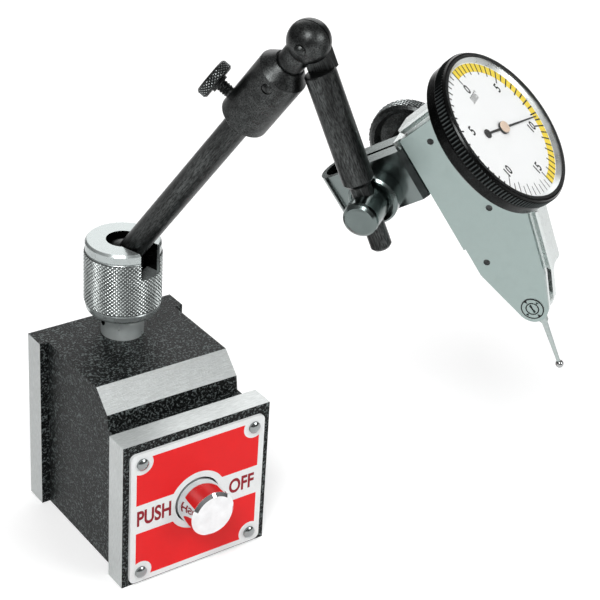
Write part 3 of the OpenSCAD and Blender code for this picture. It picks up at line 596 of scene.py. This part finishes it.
# lighter diamond tops: wear and painted highlight
head_wear_and_glint = beyond(thumb_place, thumb_radius + 0.35 * HEAD_DEPTH, thumb_radius + 0.95 * HEAD_DEPTH)
head_look = black_oxide("head_diamonds", tops=head_wear_and_glint)
add_piece("thumb_knurl", thumb_mesh, "thumb_screw", head_look)
THREAD_PITCH = 0.7 * MM
THREAD_RADIUS = 1.3 * MM
THREAD_DEPTH = 0.24 * MM
THREAD_AROUND = 24
THREAD_ROWS = 30
THREAD_LOW = 6.3 * MM
THREAD_HIGH = thumb_high - 3.3 * MM


def thread_relief(turn, height):
    return THREAD_DEPTH * saw(height / THREAD_PITCH - turn / TURN) - SINK


thread_mesh = relief_band(
    "thumb_thread", thumb_place, THREAD_LOW, THREAD_HIGH, THREAD_RADIUS,
    THREAD_AROUND, THREAD_ROWS, thread_relief,
)
add_piece("thumb_thread", thread_mesh, "thumb_screw", OXIDE)

# ribs of the bezel
bezel_low, bezel_high, bezel_radius = span("bezel", dial_place)
RIB_COUNT = 128
RIB_SAMPLES = 4
RIB_ROWS = 10
RIB_DEPTH = 0.3 * MM
RIB_SLOPE = 0.3 * MM
RIB_TOP_HIGHLIGHT = (0.07, 0.08, 0.08)
RIB_LOW = bezel_low + 2.6 * MM
RIB_HIGH = bezel_high - 0.35 * MM
RIB_ROOT = bezel_radius - 0.05 * MM
bezel_relief = ribs(RIB_LOW, RIB_HIGH, RIB_COUNT, RIB_DEPTH, SINK, RIB_SLOPE)
rib_mesh = relief_band(
    "bezel_ribs", dial_place, RIB_LOW, RIB_HIGH, RIB_ROOT,
    RIB_COUNT * RIB_SAMPLES, RIB_ROWS, bezel_relief,
)
# lighter rib tops over black: painted highlight
rib_tops = beyond(dial_place, RIB_ROOT + 0.3 * RIB_DEPTH, RIB_ROOT + 0.9 * RIB_DEPTH)
rib_look = black_oxide("bezel_rib_black", 0.002, 0.004, 0.3, tops=rib_tops, wear_and_glint=RIB_TOP_HIGHLIGHT)
add_piece("bezel_ribs", rib_mesh, "dial", rib_look)


# printed marks
def outline_mesh(name, loops, matrix):
    """Flat faces, one for each closed loop of points."""
    bm = bmesh.new()
    for loop in loops:
        bm.faces.new([bm.verts.new((x, y, 0)) for x, y in loop])
    bmesh.ops.triangulate(bm, faces=bm.faces[:])
    mesh = bpy.data.meshes.new(name)
    bm.to_mesh(mesh)
    bm.free()
    mesh.transform(matrix)
    return mesh


def arc(centre, radius, start, end, steps=24):
    """Points on an arc, in degrees from start to end."""
    turns = [math.radians(start + (end - start) * i / steps) for i in range(steps + 1)]
    return [(centre[0] + radius * math.cos(t), centre[1] + radius * math.sin(t)) for t in turns]


def ring_loops(inner, outer, steps=48):
    """Four-sided faces that make a flat ring."""
    inside = arc((0, 0), inner, 0, 360, steps)
    outside = arc((0, 0), outer, 0, 360, steps)
    return [[inside[i], outside[i], outside[i + 1], inside[i + 1]] for i in range(steps)]


def words(text, size, width=1.0, weight=0.0):
    """Flat letters as a mesh, centred on the origin, size tall."""
    curve = bpy.data.curves.new("letters", "FONT")
    curve.body = text
    curve.align_x = "CENTER"
    curve.align_y = "CENTER"
    curve.offset = weight
    holder = bpy.data.objects.new("letters", curve)
    scene.collection.objects.link(holder)
    bpy.context.view_layer.update()
    depsgraph = bpy.context.evaluated_depsgraph_get()
    mesh = bpy.data.meshes.new_from_object(holder.evaluated_get(depsgraph))
    bpy.data.objects.remove(holder)
    xs = [vertex.co.x for vertex in mesh.vertices]
    ys = [vertex.co.y for vertex in mesh.vertices]
    scale = size / (max(ys) - min(ys))
    middle = Vector(((max(xs) + min(xs)) / 2, (max(ys) + min(ys)) / 2, 0))
    mesh.transform(Matrix.Diagonal((scale * width, scale, scale, 1)) @ Matrix.Translation(-middle))
    mesh.materials.clear()
    return mesh


# dial print: sixty divisions, numbered both ways from zero, with a yellow band on one half
face_top = span("dial_face", dial_place)[1]
ZERO_TURN = 90
DIVISIONS = 60
YELLOW_END = 30
SHORT_START = 40
TICK_OUTER = 16.9 * MM
BAND_INNER = 14.7 * MM
UNIT_INNER = 14.0 * MM
FIVE_INNER = 13.3 * MM
NUMBER_RADIUS = 11.9 * MM
NUMBER_SIZE = 2.4 * MM
NUMBER_WIDTH = 0.9
NUMBER_WEIGHT = 0.025
NUMBER_STEP = 60
TICK_WIDTH = 0.36 * MM
THIN_WIDTH = 0.24 * MM
SHORT_SHARE = 0.55
VALUE_RADIUS = 9.5 * MM
VALUE_SIZE = 1.9 * MM
VALUE_WIDTH = 0.62
BAND_LIFT = 0.012 * MM
TICK_LIFT = 0.024 * MM
NUMBER_LIFT = 0.03 * MM
INK = enamel("dial_ink", (0.006, 0.006, 0.006), roughness=0.45)
YELLOW = enamel("dial_yellow", (0.90, 0.68, 0.04), roughness=0.45)


def lifted(gap):
    return dial_place @ Matrix.Translation((0, 0, face_top + gap))


band = arc((0, 0), TICK_OUTER, ZERO_TURN, ZERO_TURN - 180, 60)
band += arc((0, 0), BAND_INNER, ZERO_TURN - 180, ZERO_TURN, 60)
band_mesh = outline_mesh("dial_band", [band], lifted(BAND_LIFT))
add_piece("dial_band", band_mesh, "dial", YELLOW)

ticks = []
for division in range(DIVISIONS):
    turn = math.radians(ZERO_TURN - division * 360 / DIVISIONS)
    inner = BAND_INNER
    if division % 10 == 0:
        inner = FIVE_INNER
    elif division % 2 == 0:
        inner = UNIT_INNER
    width = TICK_WIDTH if division <= YELLOW_END else THIN_WIDTH
    if division > SHORT_START:
        inner = TICK_OUTER - (TICK_OUTER - inner) * SHORT_SHARE
        width = TICK_WIDTH
    along = Vector((math.cos(turn), math.sin(turn)))
    across = Vector((-along.y, along.x)) * width / 2
    start = along * inner
    end = along * TICK_OUTER
    corners = (start - across, end - across, end + across, start + across)
    ticks.append([(corner.x, corner.y) for corner in corners])
tick_mesh = outline_mesh("dial_ticks", ticks, lifted(TICK_LIFT))
add_piece("dial_ticks", tick_mesh, "dial", INK)

for index, number in enumerate(("0", "5", "10", "15", "10", "5")):
    turn = math.radians(ZERO_TURN - index * NUMBER_STEP)
    spot = Matrix.Translation((NUMBER_RADIUS * math.cos(turn), NUMBER_RADIUS * math.sin(turn), 0))
    mesh = words(number, NUMBER_SIZE, NUMBER_WIDTH, NUMBER_WEIGHT)
    mesh.transform(lifted(NUMBER_LIFT) @ spot)
    add_piece(f"dial_number_{index}", mesh, "dial", INK)
value_mesh = words('.0005"', VALUE_SIZE, VALUE_WIDTH)
value_mesh.transform(lifted(NUMBER_LIFT) @ Matrix.Translation((0, VALUE_RADIUS, 0)))
add_piece("dial_value", value_mesh, "dial", INK)

# black lip of the bezel, over the edge of the crystal
LIP_INNER = 17.8 * MM
LIP_OUTER = bezel_radius - 0.5 * MM
LIP_LIFT = 0.02 * MM
lip_place = dial_place @ Matrix.Translation((0, 0, bezel_high + LIP_LIFT))
lip_mesh = outline_mesh("bezel_lip", ring_loops(LIP_INNER, LIP_OUTER, 96), lip_place)
lip_look = black_oxide("lip_black", light=0.07)
add_piece("bezel_lip", lip_mesh, "dial", lip_look)

# painted shade on the pivot cap, as dark flat marks: in the gap at its edge, in its inner ring groove and
# in its slot, with two small dark triangles
cap_near, cap_far, CAP_RADIUS = span("pivot_cap_near", cap_place)
CAP_NEAR_HIGH = Vector(joints["contact_lever_pivot"]["axis"]).dot(Vector(BOLT_AXIS)) < 0
CAP_LIFT = 0.02 * MM
CAP_FACE = cap_far + CAP_LIFT if CAP_NEAR_HIGH else cap_near - CAP_LIFT
CAP_TURN = math.radians(130)
EDGE_IN = 0.12 * MM
EDGE_OUT = 0.16 * MM
RING_IN = 1.35 * MM
RING_OUT = 1.6 * MM
TRIANGLE_MM = ((1.75, 0), (2.55, -0.42), (2.55, 0.42))
CAP_SLOT_MM = ((-1.0, -0.16), (1.0, -0.16), (1.0, 0.16), (-1.0, 0.16))
# dark marks that stand in for shade in the cap's edge gap, ring groove and slot: painted shade
CAP_SHADE = enamel("cap_shade_paint", (0.012, 0.013, 0.013), roughness=0.5)
shade_loops = ring_loops(CAP_RADIUS - EDGE_IN, CAP_RADIUS + EDGE_OUT)
shade_loops += ring_loops(RING_IN, RING_OUT)
for side in (1, -1):
    shade_loops.append([(side * x * MM, side * y * MM) for x, y in TRIANGLE_MM])
shade_loops.append([(x * MM, y * MM) for x, y in CAP_SLOT_MM])
cap_lift = Matrix.Translation((0, 0, CAP_FACE)) @ Matrix.Rotation(CAP_TURN, 4, "Z")
shade_mesh = outline_mesh("cap_shade_marks", shade_loops, cap_place @ cap_lift)
add_piece("cap_shade_marks", shade_mesh, "indicator", CAP_SHADE)

# label print: two red panels with a pale band between them
LABEL_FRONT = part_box("label_plate")[0].y
SWITCH_HEIGHT = (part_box("push_button")[0].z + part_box("push_button")[1].z) / 2
screw_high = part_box("label_screws")[1]
SCREW_RADIUS = 1.6 * MM
PANEL_HALF = 17.75 * MM
PANEL_INNER = 4.2 * MM
CORNER_RADIUS = 3.1 * MM
CORNER_X = screw_high.x - SCREW_RADIUS
CORNER_Y = screw_high.z - SCREW_RADIUS - SWITCH_HEIGHT
PANEL_OVER = 1.45 * MM
PANEL_OUTER = CORNER_Y + PANEL_OVER
RING_RADIUS = 8.25 * MM
PRINT_LIFT = 0.02 * MM
WORD_RISE = 0.2 * MM
WORD_WEIGHT = 0.03
LABEL_WORDS = (("PUSH", -17.5, -7.7, 4.6), ("OFF", 9.4, 16.9, 4.4))
RED = enamel("label_red", (0.78, 0.010, 0.012), roughness=0.42)
DARK_RED = enamel("label_dark_red", (0.27, 0.006, 0.016), roughness=0.42)
label_upright = Matrix.Rotation(math.radians(90), 4, "X")
label_place = Matrix.Translation((0, LABEL_FRONT, SWITCH_HEIGHT)) @ label_upright


def panel_outline():
    """The upper red panel, with its corners cut away round the screws and its foot round the button."""
    foot = math.degrees(math.asin(PANEL_INNER / RING_RADIUS))
    side = math.degrees(math.acos((PANEL_HALF - CORNER_X) / CORNER_RADIUS))
    top = math.degrees(math.asin((PANEL_OUTER - CORNER_Y) / CORNER_RADIUS))
    points = [(-PANEL_HALF, PANEL_INNER)]
    points += arc((0, 0), RING_RADIUS, 180 - foot, foot, 40)
    points += [(PANEL_HALF, PANEL_INNER)]
    points += arc((CORNER_X, CORNER_Y), CORNER_RADIUS, -side, -180 - top)
    points += arc((-CORNER_X, CORNER_Y), CORNER_RADIUS, top, side - 180)
    return points


upper = panel_outline()
lower = [(x, -y) for x, y in reversed(upper)]
print_lift = Matrix.Translation((0, 0, PRINT_LIFT))
panels = outline_mesh("label_panels", [upper, lower], label_place @ print_lift)
add_piece("label_panels", panels, "base", RED)
for text, left, right, size in LABEL_WORDS:
    mesh = words(text, size * MM, weight=WORD_WEIGHT)
    xs = [vertex.co.x for vertex in mesh.vertices]
    narrow = (right - left) * MM / (max(xs) - min(xs))
    spot = Matrix.Translation(((left + right) / 2 * MM, WORD_RISE, 0))
    mesh.transform(label_place @ print_lift @ spot @ Matrix.Diagonal((narrow, 1, 1, 1)))
    add_piece("label_" + text.lower(), mesh, "base", DARK_RED)

# pale floor, world and lamps
FLOOR_HALF = 3.0
FLOOR_DROP = 0.1 * MM
FLOOR_GLOW = 0.35
floor_mesh = bpy.data.meshes.new("floor")
floor_corners = [(x * FLOOR_HALF, y * FLOOR_HALF, 0) for x, y in ((-1, -1), (1, -1), (1, 1), (-1, 1))]
floor_mesh.from_pydata(floor_corners, [], [(0, 1, 2, 3)])
floor = bpy.data.objects.new("floor", floor_mesh)
floor.location.z = cad_low.z - FLOOR_DROP
scene.collection.objects.link(floor)


def floor_material():
    """Matt white that also glows a little to the camera, to metal and through glass."""
    shader = Shader("floor_white", (0.8, 0.8, 0.8), roughness=0.9)
    surface = shader.surface
    glow = shader.wire(shader.node("ShaderNodeEmission"), Color=(1, 1, 1, 1))
    path = shader.node("ShaderNodeLightPath")
    seen = shader.math("MAXIMUM", path.outputs["Is Camera Ray"], path.outputs["Is Glossy Ray"])
    seen = shader.math("MAXIMUM", seen, path.outputs["Is Transmission Ray"])
    shader.tree.links.new(shader.math("MULTIPLY", seen, FLOOR_GLOW), glow.inputs["Strength"])
    total = shader.node("ShaderNodeAddShader")
    shader.tree.links.new(surface.outputs[0], total.inputs[0])
    shader.tree.links.new(glow.outputs[0], total.inputs[1])
    shader.tree.links.new(total.outputs[0], shader.tree.nodes["Material Output"].inputs["Surface"])
    return shader.material


floor_mesh.materials.append(floor_material())

HORIZON_LEVEL = 0.10
ZENITH_LEVEL = 0.34


def make_world():
    """White light from all round, stronger from above."""
    world = bpy.data.worlds.new("world")
    scene.world = world
    world.use_nodes = True
    tree = world.node_tree
    background = tree.nodes["Background"]
    background.inputs["Color"].default_value = (1, 1, 1, 1)
    direction = tree.nodes.new("ShaderNodeTexCoord")
    height = tree.nodes.new("ShaderNodeSeparateXYZ")
    level = tree.nodes.new("ShaderNodeMapRange")
    level.inputs["To Min"].default_value = HORIZON_LEVEL
    level.inputs["To Max"].default_value = ZENITH_LEVEL
    tree.links.new(direction.outputs["Generated"], height.inputs[0])
    tree.links.new(height.outputs["Z"], level.inputs["Value"])
    tree.links.new(level.outputs["Result"], background.inputs["Strength"])


def lamp(name, place_m, target_m, size, power):
    data = bpy.data.lights.new(name, "AREA")
    data.shape = "DISK"
    data.size = size
    data.energy = power
    light = bpy.data.objects.new(name, data)
    light.location = place_m
    light.rotation_euler = (Vector(target_m) - Vector(place_m)).to_track_quat("-Z", "Y").to_euler()
    scene.collection.objects.link(light)


make_world()
AIM = (0.01, -0.01, 0.08)
lamp("key", (-0.50, -0.48, 0.85), AIM, 0.40, 7.2)
lamp("fill", (0.45, -0.75, 0.55), AIM, 0.5, 3.6)
lamp("back", (0.48, 0.62, 0.52), AIM, 0.9, 3.4)

make_camera()
